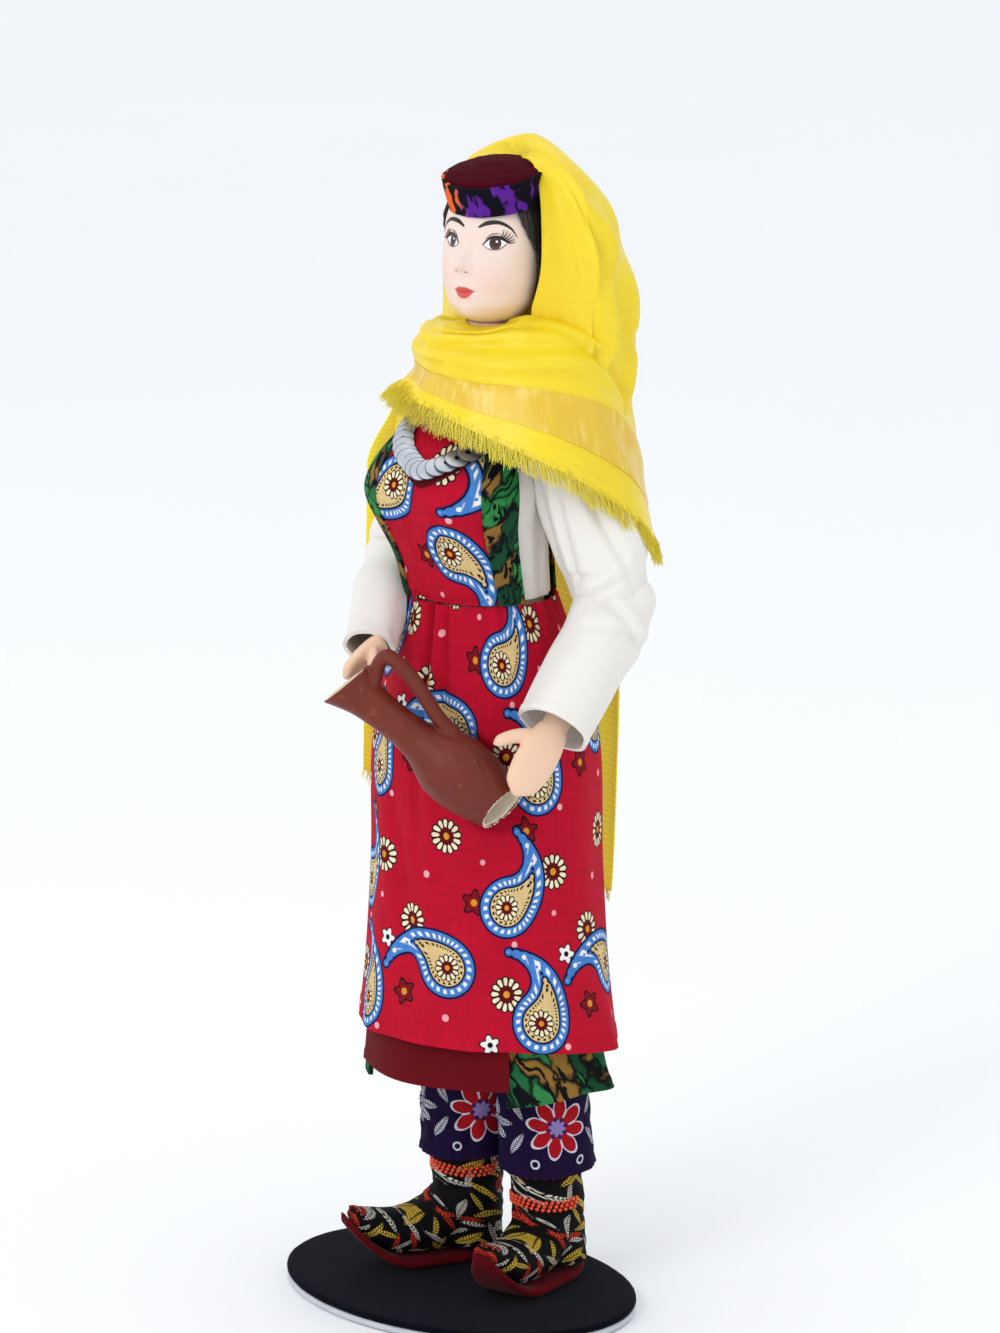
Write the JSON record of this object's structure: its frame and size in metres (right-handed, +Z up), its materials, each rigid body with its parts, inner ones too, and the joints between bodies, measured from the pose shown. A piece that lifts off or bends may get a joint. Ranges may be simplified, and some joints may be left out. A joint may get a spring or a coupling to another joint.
{
  "type": "costume doll",
  "caption": "Standing costume doll in folk dress with a headscarf, holding a jug, pegged to an oval stand.",
  "frame": {"origin": "middle of the stand's underside", "axes": "+Z up along the doll, -Y the way the doll faces, +X towards the doll's left"},
  "size_m": [0.0932, 0.0842, 0.2788],
  "materials": {
    "stand_board": "matt grey board",
    "black_velvet": "black velvet",
    "suede": "maroon suede",
    "boot_brocade": "black brocade with woven flowers",
    "trouser_brocade": "purple brocade with woven flowers",
    "padding": "wound cotton padding",
    "wire": "drawn wire",
    "maroon_twill": "maroon twill",
    "green_batik": "green and black batik cotton",
    "red_print": "red cotton print with small flowers",
    "linen": "off-white open linen weave",
    "bisque": "unglazed painted bisque",
    "hair": "painted black hair",
    "cap_velvet": "wine velvet",
    "cap_batik": "black, purple and orange batik",
    "yellow_silk": "yellow crepe silk",
    "sequin": "silvered sequins",
    "clay": "painted brown clay"
  },
  "bodies": {
    "figure": {"stand_board": "stand_board", "stand_velvet": "black_velvet", "right_sole": "suede", "left_sole": "suede", "right_boot": "boot_brocade", "left_boot": "boot_brocade", "right_leg": "padding", "left_leg": "padding", "right_trouser_leg": "trouser_brocade", "left_trouser_leg": "trouser_brocade", "right_leg_wire": "wire", "left_leg_wire": "wire", "torso": "padding", "robe_front": "maroon_twill", "robe_back": "green_batik", "skirt": "red_print", "blouse_body": "linen", "bodice_front": "red_print", "bodice_back": "red_print", "left_front_border": "green_batik", "right_front_border": "green_batik", "left_back_border": "green_batik", "right_back_border": "green_batik", "collar_band": "maroon_twill", "necklace": "sequin", "neck": "bisque", "scarf_roll": "yellow_silk", "scarf_shawl": "yellow_silk", "scarf_back": "yellow_silk", "scarf_tail": "yellow_silk"},
    "head": {"head": "bisque", "hair": "hair", "cap_band": "cap_batik", "cap_crown": "cap_velvet", "scarf_hood": "yellow_silk"},
    "left_upper_arm": {"left_upper_arm": "padding", "left_upper_sleeve": "linen", "scarf_shoulder": "yellow_silk"},
    "left_forearm": {"left_forearm": "padding", "left_lower_sleeve": "linen", "left_hand": "bisque"},
    "right_arm": {"right_upper_arm": "padding", "right_upper_sleeve": "linen", "right_forearm": "padding", "right_lower_sleeve": "linen", "right_hand": "bisque", "jug": "clay"}
  },
  "joints": [
    {"name": "neck_turn", "type": "hinge", "parent": "figure", "child": "head", "pos_m": [0, 0.01, 0.235], "axis": [0, 0, 1], "range_deg": [-20, 20]},
    {"name": "left_shoulder", "type": "hinge", "parent": "figure", "child": "left_upper_arm", "pos_m": [0.023, 0.014, 0.206], "axis": [0, -1, 0], "range_deg": [0, 40]},
    {"name": "left_elbow", "type": "hinge", "parent": "left_upper_arm", "child": "left_forearm", "pos_m": [0.033, 0.0205, 0.172], "axis": [-0.2775, -0.1804, 0.9436], "range_deg": [0, 60]},
    {"name": "right_shoulder", "type": "hinge", "parent": "figure", "child": "right_arm", "pos_m": [-0.023, 0.012, 0.206], "axis": [-0.7838, 0.2349, -0.5749], "range_deg": [0, 22]}
  ]
}
